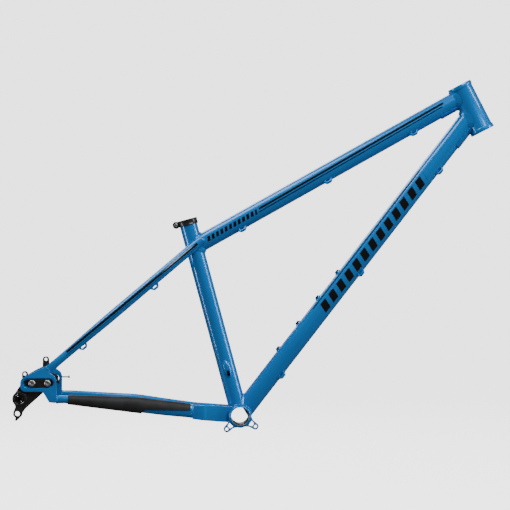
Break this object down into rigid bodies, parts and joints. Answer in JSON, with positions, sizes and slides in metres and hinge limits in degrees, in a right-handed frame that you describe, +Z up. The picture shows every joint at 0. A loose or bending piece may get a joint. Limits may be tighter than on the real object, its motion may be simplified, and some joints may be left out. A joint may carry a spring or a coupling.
{
  "type": "bicycle frame",
  "caption": "Blue steel hardtail mountain bike frame with sliding rear dropouts, a through axle, disc brake tabs, a chain guide mount and a clamp collar.",
  "frame": {"origin": "centre of the bottom bracket shell", "axes": "+X to the front of the bicycle, -Y to the drive side, which is the rider's right, +Z up as the frame is stored"},
  "size_m": [0.9495, 0.1842, 0.6986],
  "materials": {
    "blue_paint": "gloss",
    "black_anodised": "satin",
    "polished_steel": "satin",
    "black_steel": "satin",
    "black_rubber": "matte"
  },
  "bodies": {
    "frame": {"bottle_bolt_1": "black_steel", "bottle_bolt_2": "black_steel", "bottle_bolt_3": "black_steel", "bottle_bolt_4": "black_steel", "bottle_boss_1": "blue_paint", "bottle_boss_2": "blue_paint", "bottle_boss_3": "blue_paint", "bottle_boss_4": "blue_paint", "bottom_bracket_shell": "blue_paint", "cable_port": "blue_paint", "chainstay_bridge": "blue_paint", "chainstay_left": "blue_paint", "chainstay_protector": "black_rubber", "chainstay_right": "blue_paint", "chainstay_yoke_right": "blue_paint", "down_tube": "blue_paint", "down_tube_guide_1": "blue_paint", "down_tube_guide_2": "blue_paint", "down_tube_guide_3": "blue_paint", "down_tube_gusset": "blue_paint", "dropout_hood_left": "blue_paint", "dropout_hood_right": "blue_paint", "head_tube": "blue_paint", "iscg_plate": "blue_paint", "seat_tube": "blue_paint", "seatstay_bridge": "blue_paint", "seatstay_guide_1": "blue_paint", "seatstay_guide_2": "blue_paint", "seatstay_left": "blue_paint", "seatstay_right": "blue_paint", "top_tube": "blue_paint", "top_tube_guide_1": "blue_paint", "top_tube_guide_2": "blue_paint", "top_tube_guide_3": "blue_paint", "top_tube_gusset": "blue_paint"},
    "dropout_right": {"dropout_slider_right": "black_anodised", "clamp_plate_right": "black_anodised", "slider_bolt_right_rear": "polished_steel", "slider_bolt_right_front": "polished_steel", "axle_nut_right": "black_steel"},
    "dropout_left": {"dropout_slider_left": "black_anodised", "clamp_plate_left": "black_anodised", "slider_bolt_left_rear": "polished_steel", "slider_bolt_left_front": "polished_steel"},
    "adjuster_right": {"adjuster_screw_right": "black_steel"},
    "adjuster_left": {"adjuster_screw_left": "black_steel"},
    "axle": {"thru_axle": "black_steel"},
    "collar": {"seat_collar": "black_anodised", "collar_nut": "polished_steel"},
    "collar_bolt": {"collar_bolt": "polished_steel"}
  },
  "joints": [
    {"name": "dropout_slide_right", "type": "slide", "parent": "frame", "child": "dropout_right", "axis": [-1, 0, 0], "range_m": [-0.005, 0.01]},
    {"name": "dropout_slide_left", "type": "slide", "parent": "frame", "child": "dropout_left", "axis": [-1, 0, 0], "range_m": [-0.005, 0.01]},
    {"name": "adjuster_turn_right", "type": "hinge", "parent": "frame", "child": "adjuster_right", "pos_m": [-0.355, -0.084, 0.0714], "axis": [1, 0, 0], "continuous": true},
    {"name": "adjuster_turn_left", "type": "hinge", "parent": "frame", "child": "adjuster_left", "pos_m": [-0.35, 0.084, 0.0714], "axis": [1, 0, 0], "continuous": true},
    {"name": "axle_turn", "type": "hinge", "parent": "dropout_right", "child": "axle", "pos_m": [-0.429, 0, 0.0381], "axis": [0, 1, 0], "continuous": true},
    {"name": "collar_turn", "type": "hinge", "parent": "frame", "child": "collar", "pos_m": [-0.10318, 0, 0.38242], "axis": [-0.2605, 0, 0.9655], "continuous": true},
    {"name": "collar_bolt_turn", "type": "hinge", "parent": "collar", "child": "collar_bolt", "pos_m": [-0.12597, 0, 0.37627], "axis": [0, 1, 0], "continuous": true}
  ],
  "couplings": [
    {"joint": "dropout_slide_left", "follows": "dropout_slide_right", "ratio": 1}
  ]
}
